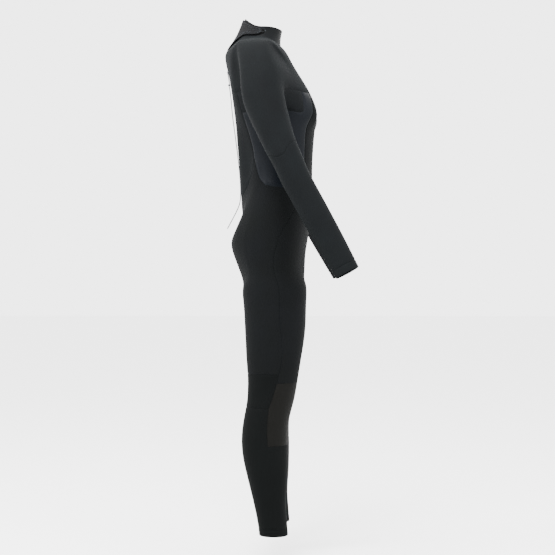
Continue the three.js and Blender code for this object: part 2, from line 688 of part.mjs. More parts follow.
for (const [hand, name] of [[1, 'left'], [-1, 'right']]) {
  addPiece(`zip_teeth_${name}`, teethGeometry(hand), acetal);
  const inner = CHAIN_HALF + CHAIN_GAP;
  const tape = rectangle(inner, inner + TAPE_WIDTH, -TAPE_DROP - TAPE_THICKNESS, -TAPE_DROP)
    .map(([x, y]) => [x * hand, y]);
  addPiece(`zip_tape_${name}`, alongZipGeometry(tape, -zipHalf, zipHalf, 14), webbing);
}
// the flap behind the zip is sewn to the left side only
const seatOut = -PANEL_THICKNESS - 1.6;
const rise = CHAIN_HALF + CHAIN_GAP + TAPE_WIDTH + 1;
addPiece('zip_backing_flap', alongZipGeometry([
  [-BACKING_HALF, -BACKING_DROP], [rise - 1, -BACKING_DROP], [rise, seatOut],
  [rise + BACKING_HEM, seatOut], [rise + BACKING_HEM, seatOut - BACKING_THICKNESS],
  [rise + 2, seatOut - BACKING_THICKNESS], [rise + 1, -BACKING_DROP - BACKING_THICKNESS],
  [-BACKING_HALF, -BACKING_DROP - BACKING_THICKNESS],
], -zipHalf, zipHalf, 14), neoprene('#1d1f21', 0.8));

// slider: a plate over the teeth and a plate under them, joined by a web between the rows
const sliderTop = zipHalf - 8;
const plateOut = TEETH_OUT + TOOTH_THICKNESS / 2 + SLIDER_CLEARANCE;
const plateIn = TEETH_OUT - TOOTH_THICKNESS / 2 - SLIDER_CLEARANCE;
const web = CHAIN_SPLIT_HALF - 0.4;
addPiece('zip_slider', alongZipGeometry([
  [-SLIDER_HALF + 2, plateOut], [-web, plateOut], [-web, plateIn], [-CHAIN_HALF, plateIn],
  [-CHAIN_HALF, plateIn - 1], [CHAIN_HALF, plateIn - 1], [CHAIN_HALF, plateIn],
  [web, plateIn], [web, plateOut], [SLIDER_HALF - 2, plateOut],
  [SLIDER_HALF - 2, plateOut + SLIDER_PLATE + 1.2], [-SLIDER_HALF + 2, plateOut + SLIDER_PLATE + 1.2],
], sliderTop - SLIDER_LENGTH, sliderTop, 1), dullMetal);

for (const [name, at] of [['zip_top_stop', zipHalf - 4], ['zip_bottom_stop', -zipHalf + 2]]) {
  addPiece(name, alongZipGeometry(
    rectangle(-CHAIN_HALF, CHAIN_HALF, TEETH_OUT - 1.5, TEETH_OUT + 1.5), at - 1.8, at + 1.8, 1), acetal);
}

// pull tab: a flat tongue that hangs from the slider
const pullOut = plateOut + SLIDER_PLATE + 1.2 + 0.4 + PULL_THICKNESS / 2;
const pullTop = sliderTop - SLIDER_LENGTH / 2;
addPiece('zip_pull_tab', alongZipGeometry(
  rectangle(-PULL_WIDTH / 2, PULL_WIDTH / 2, pullOut - PULL_THICKNESS / 2, pullOut + PULL_THICKNESS / 2),
  pullTop - PULL_LENGTH, pullTop, 1), dullMetal);

// leash: a knot under the tab's end and a thin cord down the back
const knotAt = pullTop - PULL_LENGTH - 3.6;
const knot = new THREE.SphereGeometry(KNOT_RADIUS, 10, 8);
knot.deleteAttribute('uv');
const knotMesh = addPiece('leash_knot', knot, greyCord);
knotMesh.position.copy(onZip(0, pullOut + 1.5, knotAt));
// how far back and how high the cord runs; it follows the zip, then stands off the seat
const leashRoute = [
  [131.9, 249.6], [129.3, 232], [127.2, 213.8], [124.6, 183], [122.4, 162], [120, 144.5], [116, 115],
  [112.8, 90], [109.6, 65.1], [106.8, 40], [104.4, 18], [102.5, -4.7], [101.4, -25], [100.9, -43],
  [101.6, -60], [103.8, -72], [108.2, -84], [114.8, -98], [122.2, -112], [129.7, -126], [137.2, -140],
];
const leashPoints = leashRoute.map(([back, up]) => new THREE.Vector3(0, back, up));
const leashSection = new THREE.Shape(Array.from({ length: 8 }, (_, k) => new THREE.Vector2(
  LEASH_DIAMETER / 2 * cos(k * PI / 4), LEASH_DIAMETER / 2 * sin(k * PI / 4))));
addPiece('leash', new THREE.ExtrudeGeometry(leashSection, {
  steps: 64, bevelEnabled: false, extrudePath: new THREE.CatmullRomCurve3(leashPoints, false, 'centripetal'),
}), greyCord);

// ---------- collar closure ----------
// A place on the neck's outside: turn from the middle of the back towards the wearer's right, how far
// up the collar (0 its seam, 1 its top edge, -1 the top of the zip), and distance out.
function onCollar(turn, up, out) {
  const level = up < 0 ? max(0, 2 + 2 * up) : min(4, 2 + 2 * up);
  const ring = min(3, Math.floor(level));
  const at = (k) => onYokeRing(k, abs(turn));
  const place = at(ring).lerp(at(ring + 1), level - ring);
  place.x *= -sign(turn);
  const a = abs(turn) * DEG;
  const lean = up < 0 ? blend(0.12, 0.6, min(1, -up)) : 0.12;
  const away = new THREE.Vector3(-sign(turn) * sin(a), cos(a), lean).normalize();
  return place.addScaledVector(away, out);
}

// A curved sheet on the collar between two turns, with its lower and upper edge given by functions.
function collarSheet(from, to, steps, rows, low, high, out, thickness) {
  const positions = [];
  const triangles = [];
  const at = (k, r, face) => (k * (rows + 1) + r) * 2 + face;
  for (let k = 0; k <= steps; k++) {
    const turn = blend(from, to, k / steps);
    for (let r = 0; r <= rows; r++) {
      const up = blend(low(turn), high(turn), r / rows);
      const middle = out(turn, up);
      positions.push(onCollar(turn, up, middle + thickness / 2), onCollar(turn, up, middle - thickness / 2));
    }
  }
  const quad = (p, q, r, t) => triangles.push([p, q, r], [p, r, t]);
  for (let k = 0; k < steps; k++) {
    for (let r = 0; r < rows; r++) {
      const [p, q, t, u] = [at(k, r, 0), at(k + 1, r, 0), at(k + 1, r + 1, 0), at(k, r + 1, 0)];
      quad(p, q, t, u);
      quad(p + 1, u + 1, t + 1, q + 1);
    }
    quad(at(k, 0, 0), at(k, 0, 1), at(k + 1, 0, 1), at(k + 1, 0, 0));
    quad(at(k, rows, 0), at(k + 1, rows, 0), at(k + 1, rows, 1), at(k, rows, 1));
  }
  for (let r = 0; r < rows; r++) {
    quad(at(0, r, 0), at(0, r + 1, 0), at(0, r + 1, 1), at(0, r, 1));
    quad(at(steps, r, 0), at(steps, r, 1), at(steps, r + 1, 1), at(steps, r + 1, 0));
  }
  return outward(closedMesh(positions, triangles));
}

const patchOut = TOUCH_GAP + PATCH_THICKNESS / 2;
const sewnOut = TOUCH_GAP + COLLAR_FLAP_THICKNESS / 2;
const overPatch = sewnOut + 1.5 * TOUCH_GAP + PATCH_THICKNESS;
const FLAP_FROM = -34;            // where the flap is sewn on, in degrees from the middle of the back
const FLAP_TO = 92;               // its round end, towards the wearer's right
const FLAP_LOBE = 60;             // where its lower lobe, which covers the zip's top, meets the collar
const PATCH_FROM = 62;
const PATCH_TO = 99;
const FLAP_END = 24;              // length of the round end
const FLAP_MIDDLE = 0.47;
const FLAP_HALF = 0.37;
// how full a strip is at a turn, with its end rounded off
const roundEnd = (turn, end) => {
  const past = max(0, (turn - (end - FLAP_END)) / FLAP_END);
  return 0.25 + 0.75 * sqrt(max(0, 1 - past ** 2));
};
const lobe = (turn) => (1 + cos(PI * min(1, turn < 0 ? turn / FLAP_FROM : turn / FLAP_LOBE))) / 2;
const flapLow = (turn) => FLAP_MIDDLE - FLAP_HALF * roundEnd(turn, FLAP_TO) - 0.95 * lobe(turn);
const flapHigh = (turn) =>
  FLAP_MIDDLE + (FLAP_HALF + 0.13 * (1 - smooth(turn / FLAP_LOBE))) * roundEnd(turn, FLAP_TO);
const flapOut = (turn, up) =>
  blend(sewnOut, overPatch, smooth((turn - FLAP_FROM) / 30)) + 1.4 * smooth((-0.35 - up) / 0.3);
addPiece('collar_flap', collarSheet(FLAP_FROM, FLAP_TO, 28, 8, flapLow, flapHigh, flapOut,
  COLLAR_FLAP_THICKNESS), plush);
addPiece('hook_patch', collarSheet(PATCH_FROM, PATCH_TO, 10, 3,
  (turn) => FLAP_MIDDLE - 0.38 * roundEnd(turn, PATCH_TO),
  (turn) => FLAP_MIDDLE + 0.32 * roundEnd(turn, PATCH_TO),
  () => patchOut, PATCH_THICKNESS), webbing);

export default suit;
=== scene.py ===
import math

import bmesh
import bpy
from mathutils import Matrix, Vector, kdtree


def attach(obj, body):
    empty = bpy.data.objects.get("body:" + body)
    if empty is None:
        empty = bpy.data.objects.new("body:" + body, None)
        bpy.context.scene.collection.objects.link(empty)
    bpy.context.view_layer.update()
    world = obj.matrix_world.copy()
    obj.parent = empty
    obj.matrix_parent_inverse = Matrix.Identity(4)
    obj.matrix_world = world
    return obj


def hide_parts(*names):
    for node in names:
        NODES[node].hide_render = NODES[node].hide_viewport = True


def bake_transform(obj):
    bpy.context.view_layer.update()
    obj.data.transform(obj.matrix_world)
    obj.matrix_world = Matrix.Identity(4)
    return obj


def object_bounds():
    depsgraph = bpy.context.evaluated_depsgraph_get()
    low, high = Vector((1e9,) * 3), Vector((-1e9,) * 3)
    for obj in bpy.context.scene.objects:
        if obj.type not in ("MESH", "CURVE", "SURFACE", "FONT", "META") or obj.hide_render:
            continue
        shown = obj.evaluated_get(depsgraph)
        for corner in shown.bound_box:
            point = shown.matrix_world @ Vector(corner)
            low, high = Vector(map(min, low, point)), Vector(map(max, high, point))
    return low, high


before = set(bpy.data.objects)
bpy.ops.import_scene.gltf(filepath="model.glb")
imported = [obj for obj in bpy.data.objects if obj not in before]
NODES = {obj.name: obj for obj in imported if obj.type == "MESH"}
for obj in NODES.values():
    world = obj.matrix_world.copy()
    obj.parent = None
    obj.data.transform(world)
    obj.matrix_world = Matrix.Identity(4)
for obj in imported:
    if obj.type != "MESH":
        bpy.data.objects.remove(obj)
CAD_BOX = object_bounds()
HANDS = {"left": 1, "right": -1}

# ---------- sizes, in metres ----------
NEOPRENE = 0.004            # the panels' thickness
FLAP_THICKNESS = 0.003
SKIN_SHARE = 0.94           # of the thickness kept where panels are drawn in at a seam
HEM_DIP_SHARE = 0.35        # a free edge rounds over less than a sewn one
FILL_ROUNDS = 4             # corrections of the skin's fullness, each by this share of what is missing
FILL_STEP = 0.8
SEAM_WELD = 0.0008          # gap between two panels in the frame, closed before smoothing
SEAM_DIP = 0.0011           # how far a glued and stitched seam is pulled in
SEAM_LIP = 0.0019           # width of the rounding beside a seam
CORD_WIDTH = 0.0026
STITCH_PITCH = 0.0042
STITCH_LENGTH = 0.0030
STITCH_WIDTH = 0.0008
FLAP_STITCH_ROWS = (0.0032, 0.0068)  # rows of stitching inside the flap's edge
FLOOR_DROP = 0.078          # the suit's ankles hang this far above the floor

# Panels that are one piece of cloth on the suit, though the frame holds them as several solids.
WHOLE_PANELS = {name: [name] for name in ("front_panel", "crotch_gusset", "collar")}
for _hand in HANDS:
    for _name in ("shoulder_panel", "side_panel", "zip_panel", "front_thigh", "knee_bend", "knee_pad",
                  "calf_panel", "ankle_hem", "wrist_hem"):
        WHOLE_PANELS[f"{_name}_{_hand}"] = [f"{_name}_{_hand}"]
    WHOLE_PANELS[f"sleeve_panel_{_hand}"] = [
        f"{_name}_{_hand}" for _name in ("underarm_panel", "elbow_bend", "forearm_panel")]
    WHOLE_PANELS[f"seat_panel_{_hand}"] = [f"{_name}_{_hand}" for _name in ("seat_panel", "back_thigh")]
PANEL_NAMES = list(WHOLE_PANELS)
# The front and the thigh fronts are one piece too, and only parted where the hips would bend.
UNSEWN = [{"front_panel", "front_thigh_left"}, {"front_panel", "front_thigh_right"}]


# ---------- camera ----------
def place_camera():
    """Level with the suit's middle, on the wearer's right and a little in front, 3.2 m away."""
    data = bpy.data.cameras.new("camera")
    camera = bpy.data.objects.new("camera", data)
    bpy.context.scene.collection.objects.link(camera)
    camera.location = (-3.2, -0.10, -0.2735)
    camera.rotation_euler = (math.radians(90), 0, math.radians(-88.21))
    data.sensor_width = 36
    data.angle = math.radians(26.68)
    data.clip_end = 50
    bpy.context.scene.camera = camera


place_camera()


# ---------- materials ----------
def linear(hex_colour):
    """An sRGB hex colour as linear red, green, blue and alpha."""
    parts = [int(hex_colour[k:k + 2], 16) / 255 for k in (1, 3, 5)]
    return tuple(c / 12.92 if c <= 0.04045 else ((c + 0.055) / 1.055) ** 2.4 for c in parts) + (1.0,)


def add_node(tree, kind, links=None, **settings):
    """Adds a node; settings name its properties or its inputs, links join inputs to other nodes' outputs."""
    node = tree.nodes.new(kind)
    for name, value in settings.items():
        key = name.replace("_", " ")
        match = [s for s in node.inputs if s.name.lower() == key.lower() and s.enabled]
        if match:
            match[0].default_value = value
        else:
            setattr(node, name, value)
    for name, output in (links or {}).items():
        socket = node.inputs[name] if isinstance(name, int) else next(
            s for s in node.inputs if s.name == name and s.enabled)
        tree.links.new(output, socket)
    return node


def start_material(name, base, rough, **shader):
    """A material with its shader and its object coordinates ready."""
    material = bpy.data.materials.new(name)
    material.use_nodes = True
    tree = material.node_tree
    principled = next(n for n in tree.nodes if n.type == "BSDF_PRINCIPLED")
    principled.inputs["Base Color"].default_value = linear(base)
    principled.inputs["Roughness"].default_value = rough
    for key, value in shader.items():
        principled.inputs[key.replace("_", " ")].default_value = value
    material.diffuse_color = linear(base)
    place = add_node(tree, "ShaderNodeTexCoord").outputs["Object"]
    return material, tree, principled, place


def varied_colour(tree, principled, place, light, dark, scale, share=(0.35, 0.7)):
    """Soft patches between two near tones, as dyed cloth and worn rubber show."""
    patches = add_node(tree, "ShaderNodeTexNoise", {"Vector": place}, Scale=scale, Detail=6.0, Roughness=0.6)
    ramp = add_node(tree, "ShaderNodeValToRGB", {"Fac": patches.outputs["Fac"]})
    ramp.color_ramp.elements[0].position = share[0]
    ramp.color_ramp.elements[0].color = linear(dark)
    ramp.color_ramp.elements[1].position = share[1]
    ramp.color_ramp.elements[1].color = linear(light)
    tree.links.new(ramp.outputs["Color"], principled.inputs["Base Color"])


def jersey(name, light, dark, sheen=0.02):
    """Nylon jersey laminated on neoprene: a fine rib of knitted loops, 1.1 mm apart (drawn at
    1.8 mm so that it shows), a soft nap that lightens at the edges, and no gloss."""
    material, tree, principled, place = start_material(
        name, light, 0.78, Sheen_Weight=sheen, Sheen_Roughness=0.4, Specular_IOR_Level=0.03)
    principled.inputs["Sheen Tint"].default_value = linear("#b9c6cf")
    varied_colour(tree, principled, place, light, dark, 9.0)
    rows = add_node(tree, "ShaderNodeTexVoronoi", {"Vector": place}, Scale=1 / 0.0018)
    grain = add_node(tree, "ShaderNodeTexNoise", {"Vector": place}, Scale=1 / 0.0035, Detail=3.0)
    mixed = add_node(tree, "ShaderNodeMath", {0: rows.outputs["Distance"], 1: grain.outputs["Fac"]})
    knit = add_node(tree, "ShaderNodeBump", {"Height": mixed.outputs[0]}, Strength=0.16, Distance=0.0004)
    dents = add_node(tree, "ShaderNodeTexNoise", {"Vector": place}, Scale=24.0, Detail=2.0)
    soft = add_node(tree, "ShaderNodeBump", {"Height": dents.outputs["Fac"], "Normal": knit.outputs[0]},
                    Strength=0.10, Distance=0.004)
    tree.links.new(soft.outputs[0], principled.inputs["Normal"])
    rough = add_node(tree, "ShaderNodeMapRange", {"Value": grain.outputs["Fac"]}, To_Min=0.70, To_Max=0.88)
    tree.links.new(rough.outputs[0], principled.inputs["Roughness"])
    return material


def smooth_skin(name, light, dark, rough=0.5):
    """Smooth-faced neoprene: bare closed-cell rubber with a fine mesh emboss, which gives a dark,
    slightly oily sheen."""
    material, tree, principled, place = start_material(
        name, light, rough, Specular_IOR_Level=0.05)
    varied_colour(tree, principled, place, light, dark, 7.0)
    mesh = add_node(tree, "ShaderNodeTexVoronoi", {"Vector": place}, feature="DISTANCE_TO_EDGE",
                    Scale=1 / 0.0026)
    fine = add_node(tree, "ShaderNodeBump", {"Height": mesh.outputs["Distance"]},
                    Strength=0.12, Distance=0.0004)
    dents = add_node(tree, "ShaderNodeTexNoise", {"Vector": place}, Scale=30.0, Detail=2.0)
    soft = add_node(tree, "ShaderNodeBump", {"Height": dents.outputs["Fac"], "Normal": fine.outputs[0]},
                    Strength=0.1, Distance=0.003)
    tree.links.new(soft.outputs[0], principled.inputs["Normal"])
    return material


def printed_pad():
    """Knee pad: jersey under a hard-wearing printed rubber of small raised hexagons, 4 mm across,
    dull and a little brown."""
    material, tree, principled, place = start_material(
        "printed_rubber_pad", "#050504", 0.7, Specular_IOR_Level=0.05)
    varied_colour(tree, principled, place, "#060605", "#040403", 12.0)
    cells = add_node(tree, "ShaderNodeTexVoronoi", {"Vector": place}, feature="DISTANCE_TO_EDGE",
                     Scale=1 / 0.0042)
    step = add_node(tree, "ShaderNodeMapRange", {"Value": cells.outputs["Distance"]},
                    From_Min=0.02, From_Max=0.12)
    bump = add_node(tree, "ShaderNodeBump", {"Height": step.outputs[0]}, Strength=0.35, Distance=0.0006)
    tree.links.new(bump.outputs[0], principled.inputs["Normal"])
    return material


def loop_plush():
    """Loop fabric of a touch fastener: a dense field of tiny loops, dark grey and quite rough."""
    material, tree, principled, place = start_material(
        "loop_fabric", "#121213", 0.95, Sheen_Weight=0.01, Sheen_Roughness=0.6, Specular_IOR_Level=0.03)
    varied_colour(tree, principled, place, "#161617", "#0c0c0d", 260.0, (0.3, 0.75))
    loops = add_node(tree, "ShaderNodeTexNoise", {"Vector": place}, Scale=1 / 0.0016, Detail=5.0, Roughness=0.7)
    bump = add_node(tree, "ShaderNodeBump", {"Height": loops.outputs["Fac"]}, Strength=0.7, Distance=0.0012)
    tree.links.new(bump.outputs[0], principled.inputs["Normal"])
    return material


def woven(name, light, dark, pitch=0.0013):
    """Woven tape or braided cord: crossing threads that catch light in small rows."""
    material, tree, principled, place = start_material(name, light, 0.8, Specular_IOR_Level=0.05)
    across, down = (
        add_node(tree, "ShaderNodeTexWave", {"Vector": place}, bands_direction=way, Scale=1 / pitch / 3.14,
                 Distortion=0.6) for way in "XZ")
    weave = add_node(tree, "ShaderNodeMath", {0: across.outputs["Fac"], 1: down.outputs["Fac"]},
                     operation="MULTIPLY")
    ramp = add_node(tree, "ShaderNodeValToRGB", {"Fac": weave.outputs[0]})
    ramp.color_ramp.elements[0].color = linear(dark)
    ramp.color_ramp.elements[1].color = linear(light)
    tree.links.new(ramp.outputs["Color"], principled.inputs["Base Color"])
    bump = add_node(tree, "ShaderNodeBump", {"Height": weave.outputs[0]}, Strength=0.5, Distance=0.0004)
    tree.links.new(bump.outputs[0], principled.inputs["Normal"])
    return material


def moulded_acetal():
    """Injection-moulded acetal zip teeth: slightly waxy, with fine mould grain."""
    material, tree, principled, place = start_material(
        "moulded_acetal", "#17181a", 0.38, IOR=1.48, Specular_IOR_Level=0.1)
    varied_colour(tree, principled, place, "#0c0d0e", "#08090a", 180.0)
    grain = add_node(tree, "ShaderNodeTexNoise", {"Vector": place}, Scale=1 / 0.0008)
    bump = add_node(tree, "ShaderNodeBump", {"Height": grain.outputs["Fac"]}, Strength=0.1, Distance=0.0002)
    tree.links.new(bump.outputs[0], principled.inputs["Normal"])
    return material


def enamelled_zinc():
    """Die-cast zinc slider with baked dark enamel, worn brighter where it is handled."""
    material, tree, principled, place = start_material("enamelled_zinc", "#3b3c3f", 0.34, Metallic=0.75)
    wear = add_node(tree, "ShaderNodeTexNoise", {"Vector": place}, Scale=420.0, Detail=6.0, Roughness=0.7)
    ramp = add_node(tree, "ShaderNodeValToRGB", {"Fac": wear.outputs["Fac"]})
    ramp.color_ramp.elements[0].position = 0.45
    ramp.color_ramp.elements[0].color = linear("#34353a")
    ramp.color_ramp.elements[1].position = 0.72
    ramp.color_ramp.elements[1].color = linear("#6d6e72")
    tree.links.new(ramp.outputs["Color"], principled.inputs["Base Color"])
    rough = add_node(tree, "ShaderNodeMapRange", {"Value": wear.outputs["Fac"]}, To_Min=0.26, To_Max=0.52)
    tree.links.new(rough.outputs[0], principled.inputs["Roughness"])
    bump = add_node(tree, "ShaderNodeBump", {"Height": wear.outputs["Fac"]}, Strength=0.08, Distance=0.0002)
    tree.links.new(bump.outputs[0], principled.inputs["Normal"])
    return material


BODY_JERSEY = jersey("stretch_jersey_body", "#0a0c0d", "#08090a", 0.006)
# A lighter copy of the body jersey for the shoulders: painted light, as if lit from above.
SHOULDER_JERSEY_PAINTED_LIGHT = jersey("stretch_jersey_shoulder_painted_light", "#0b0d0e", "#090a0b", 0.008)
# A darker copy of the body jersey for the legs: painted shade, as the lower suit gets less light.
LEG_JERSEY_PAINTED_SHADE = jersey("stretch_jersey_legs_painted_shade", "#050606", "#040505", 0.004)
# A darker copy of the body jersey for the front, seat and thighs: painted shade, between the shoulders and the
# legs.
FRONT_JERSEY_PAINTED_SHADE = jersey("stretch_jersey_front_painted_shade", "#070809", "#060707", 0.004)
SIDE_SKIN = smooth_skin("smooth_neoprene_side", "#04060a", "#030508", 0.46)
COLLAR_SKIN = smooth_skin("smooth_neoprene_collar", "#050708", "#040506", 0.55)
PAD = printed_pad()
LOOP = loop_plush()
WEBBING = woven("woven_zip_tape", "#060606", "#030303")
CORD = woven("braided_cord", "#5f6263", "#3a3c3d", 0.0011)
THREAD = woven("bonded_thread", "#3a3d40", "#25272a", 0.0006)
ACETAL = moulded_acetal()
ZINC = enamelled_zinc()

FINISH = {
    # The shoulders take the lighter jersey copy, which is painted light from above.
    "shoulder_panel": (SHOULDER_JERSEY_PAINTED_LIGHT, "jersey"),
    "sleeve_panel": (BODY_JERSEY, "jersey"),
    "wrist_hem": (BODY_JERSEY, "jersey"),
    # The front, seat and thigh fronts take a darker jersey copy, which is painted shade.
    "front_panel": (FRONT_JERSEY_PAINTED_SHADE, "jersey"),
    "zip_panel": (BODY_JERSEY, "jersey"),
    "seat_panel": (FRONT_JERSEY_PAINTED_SHADE, "jersey"),
    "side_panel": (SIDE_SKIN, "smooth_side"),
    "collar": (COLLAR_SKIN, "collar_skin"),
    "front_thigh": (FRONT_JERSEY_PAINTED_SHADE, "jersey"),
    # The gusset, knees, calves and ankles take the darker jersey copy, which is painted shade.
    "crotch_gusset": (LEG_JERSEY_PAINTED_SHADE, "leg_jersey"),
    "knee_bend": (LEG_JERSEY_PAINTED_SHADE, "leg_jersey"),
    "knee_pad": (PAD, "pad"),
    "calf_panel": (LEG_JERSEY_PAINTED_SHADE, "leg_jersey"),
    "ankle_hem": (LEG_JERSEY_PAINTED_SHADE, "leg_jersey"),
}


def plain_name(name):
    """A panel's name without its side."""
    return name.removesuffix("_left").removesuffix("_right")


# ---------- mesh helpers ----------
def new_piece(name, mesh, material):
    piece = bpy.data.objects.new(name, mesh)
    bpy.context.scene.collection.objects.link(piece)
    mesh.materials.clear()
    mesh.materials.append(material)
    return piece


def only(piece):
    """Selects one piece and nothing else."""
    bpy.ops.object.select_all(action="DESELECT")
    piece.select_set(True)
    bpy.context.view_layer.objects.active = piece


def apply_modifier(piece, kind, **settings):
    only(piece)
    modifier = piece.modifiers.new(kind.title(), kind)
    for key, value in settings.items():
        setattr(modifier, key, value)
    bpy.ops.object.modifier_apply(modifier=modifier.name)


def smooth_by_angle(piece, degrees=40):
    only(piece)
    bpy.ops.object.shade_smooth_by_angle(angle=math.radians(degrees))


# ---------- the leash: the suit's free cord ----------
CORD_ROUTE = [
    (131.9, 249.6), (129.3, 232), (127.2, 213.8), (124.6, 183), (122.4, 162), (120, 144.5), (116, 115),
    (112.8, 90), (109.6, 65.1), (106.8, 40), (104.4, 18), (102.5, -4.7), (101.4, -25), (100.9, -43),
    (101.6, -60), (103.8, -72), (108.2, -84), (114.8, -98), (122.2, -112), (129.7, -126), (137.2, -140),
]


def make_leash():
    """A thin braided cord from the pull tab down the back, standing off the seat at its end."""
    points = [Vector((0, back / 1000, up / 1000)) for back, up in CORD_ROUTE]
    data = bpy.data.curves.new("leash_cord", "CURVE")
    data.dimensions = "3D"
    spline = data.splines.new("POLY")
    spline.points.add(len(points) - 1)
    for point, place in zip(spline.points, points):
        point.co = (*place, 1)
    data.bevel_depth = CORD_WIDTH / 2
    data.bevel_resolution = 3
    data.use_fill_caps = True
    cord = bpy.data.objects.new("leash_cord", data)
    bpy.context.scene.collection.objects.link(cord)
    data.materials.append(CORD)
    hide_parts("leash")
    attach(cord, "leash_cord")


make_leash()


# ---------- the suit's skin ----------
def outer_skin(node, thickness=NEOPRENE):
    """The outer face of one of the frame's closed panels, as a bmesh: its doubles are merged, then
    the walls that join each outer point to its partner underneath are removed."""
    skin = bmesh.new()
    skin.from_mesh(NODES[node].data)
    bmesh.ops.remove_doubles(skin, verts=skin.verts, dist=1e-5)
    skin.verts.ensure_lookup_table()
    tree = kdtree.KDTree(len(skin.verts))
    for vert in skin.verts:
        tree.insert(vert.co, vert.index)
    tree.balance()
    partner = {}
    for vert in skin.verts:
        for _, index, distance in tree.find_range(vert.co, thickness * 1.01):
            if abs(distance - thickness) < 2e-5:
                partner.setdefault(vert.index, set()).add(index)
    walls = [face for face in skin.faces
             if any(b.index in partner.get(a.index, ()) for a in face.verts for b in face.verts)]
    bmesh.ops.delete(skin, geom=walls, context="FACES")
    skin.faces.ensure_lookup_table()
    unseen = set(skin.faces)
    sheets = []
    while unseen:
        sheet = []
        queue = [unseen.pop()]
        while queue:
            face = queue.pop()
            sheet.append(face)
            for edge in face.edges:
                for other in edge.link_faces:
                    if other in unseen:
                        unseen.remove(other)
                        queue.append(other)
        sheets.append(sheet)
    sheets.sort(key=lambda sheet: -sum(face.calc_area() for face in sheet))
    bmesh.ops.delete(skin, geom=[face for sheet in sheets[1:] for face in sheet], context="FACES")
    return skin


def sew_skin():
    """All the panels' outer faces welded into one mesh, mostly four-sided; a face's material number
    is its panel."""
    whole = bmesh.new()
    for number, name in enumerate(PANEL_NAMES):
        for node in WHOLE_PANELS[name]:
            skin = outer_skin(node)
            mesh = bpy.data.meshes.new("part")
            for face in skin.faces:
                face.material_index = number
            skin.to_mesh(mesh)
            skin.free()
            whole.from_mesh(mesh)
            bpy.data.meshes.remove(mesh)
    bmesh.ops.remove_doubles(whole, verts=whole.verts, dist=SEAM_WELD)
    bmesh.ops.join_triangles(whole, faces=whole.faces, angle_face_threshold=math.radians(120),
                             angle_shape_threshold=math.radians(160), cmp_materials=True)
    mesh = bpy.data.meshes.new("skin")
    whole.to_mesh(mesh)
    whole.free()
    skin = bpy.data.objects.new("skin", mesh)
    bpy.context.scene.collection.objects.link(skin)
    for name in PANEL_NAMES:
        mesh.materials.append(FINISH[plain_name(name)][0])
    return skin


def fill_out(skin):
    """Swells the mesh so that once subdivided it passes through the frame's own points, and the bust
    and the seat keep their fullness."""
    wanted = [vert.co.copy() for vert in skin.data.vertices]
    for _ in range(FILL_ROUNDS):
        trial = skin.copy()
        trial.data = skin.data.copy()
        bpy.context.scene.collection.objects.link(trial)
        apply_modifier(trial, "SUBSURF", levels=1, render_levels=1)
        for vert, place in zip(skin.data.vertices, wanted):
            vert.co += (place - trial.data.vertices[vert.index].co) * FILL_STEP
        mesh = trial.data
        bpy.data.objects.remove(trial)
        bpy.data.meshes.remove(mesh)


SKIN = sew_skin()
fill_out(SKIN)
apply_modifier(SKIN, "SUBSURF", levels=2, render_levels=2)


# ---------- panels cut from the skin ----------
def cut_panel(name):
    """One panel: its part of the skin, its edges drawn in as at a glued seam, given its thickness.
    Returns it with the area of its outer face."""
    number = PANEL_NAMES.index(name)
    panel = bmesh.new()
    panel.from_mesh(SKIN.data)
    panel.normal_update()
    normals = {vert.index: vert.normal.copy() for vert in panel.verts}
    layer = panel.verts.layers.int.new("from")
    sewn = set()
    for edge in panel.edges:
        owners = {face.material_index for face in edge.link_faces}
        if number in owners and len(owners) == 2:
            pair = {PANEL_NAMES[k] for k in owners}
            if pair not in UNSEWN:
                sewn.update(vert.index for vert in edge.verts)
    for vert in panel.verts:
        vert[layer] = vert.index + 1
    others = [face for face in panel.faces if face.material_index != number]
    bmesh.ops.delete(panel, geom=others, context="FACES")
    bmesh.ops.inset_region(panel, faces=panel.faces, thickness=SEAM_LIP, depth=0,
                           use_boundary=True, use_even_offset=True)
    rim = {vert for edge in panel.edges if edge.is_boundary for vert in edge.verts}
    for vert in rim:
        origin = vert[layer] - 1
        dip = SEAM_DIP if origin in sewn else SEAM_DIP * HEM_DIP_SHARE
        if origin in normals and not any(name in pair for pair in UNSEWN if origin not in sewn):
            vert.co -= normals[origin] * dip
    for face in panel.faces:
        face.material_index = 0
        face.smooth = True
    mesh = bpy.data.meshes.new(name)
    panel.to_mesh(mesh)
    panel.free()
    material, slot = FINISH[plain_name(name)]
    piece = new_piece(name + "_cloth", mesh, material)
    area = sum(p.area for p in mesh.polygons)
    apply_modifier(piece, "SOLIDIFY", thickness=NEOPRENE * SKIN_SHARE, offset=-1, use_even_offset=False)
    smooth_by_angle(piece, 50)
    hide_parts(*WHOLE_PANELS[name])
    return piece, area


def limb_joint(name):
    """The limb joint that a panel crosses or hangs from, or nothing."""
    base, _, hand = name.rpartition("_")
    if base in ("shoulder_panel", "sleeve_panel", "wrist_hem"):
        return f"elbow_{hand}"
    if base in ("front_thigh", "seat_panel", "knee_bend", "knee_pad", "calf_panel", "ankle_hem"):
        return f"knee_{hand}"
    return None


for panel_name in PANEL_NAMES:
    cloth, area = cut_panel(panel_name)
    joint = limb_joint(panel_name)
    if joint:
        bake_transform(cloth)
    else:
        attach(cloth, "suit")
bpy.data.objects.remove(SKIN)

for plain, material in (("zip_teeth_left", ACETAL), ("zip_teeth_right", ACETAL), ("zip_top_stop", ACETAL),
                        ("zip_bottom_stop", ACETAL), ("zip_slider", ZINC), ("zip_pull_tab", ZINC),
                        ("zip_tape_left", WEBBING), ("zip_tape_right", WEBBING), ("leash_knot", CORD)):
    for slot in NODES[plain].material_slots:
        slot.material = material


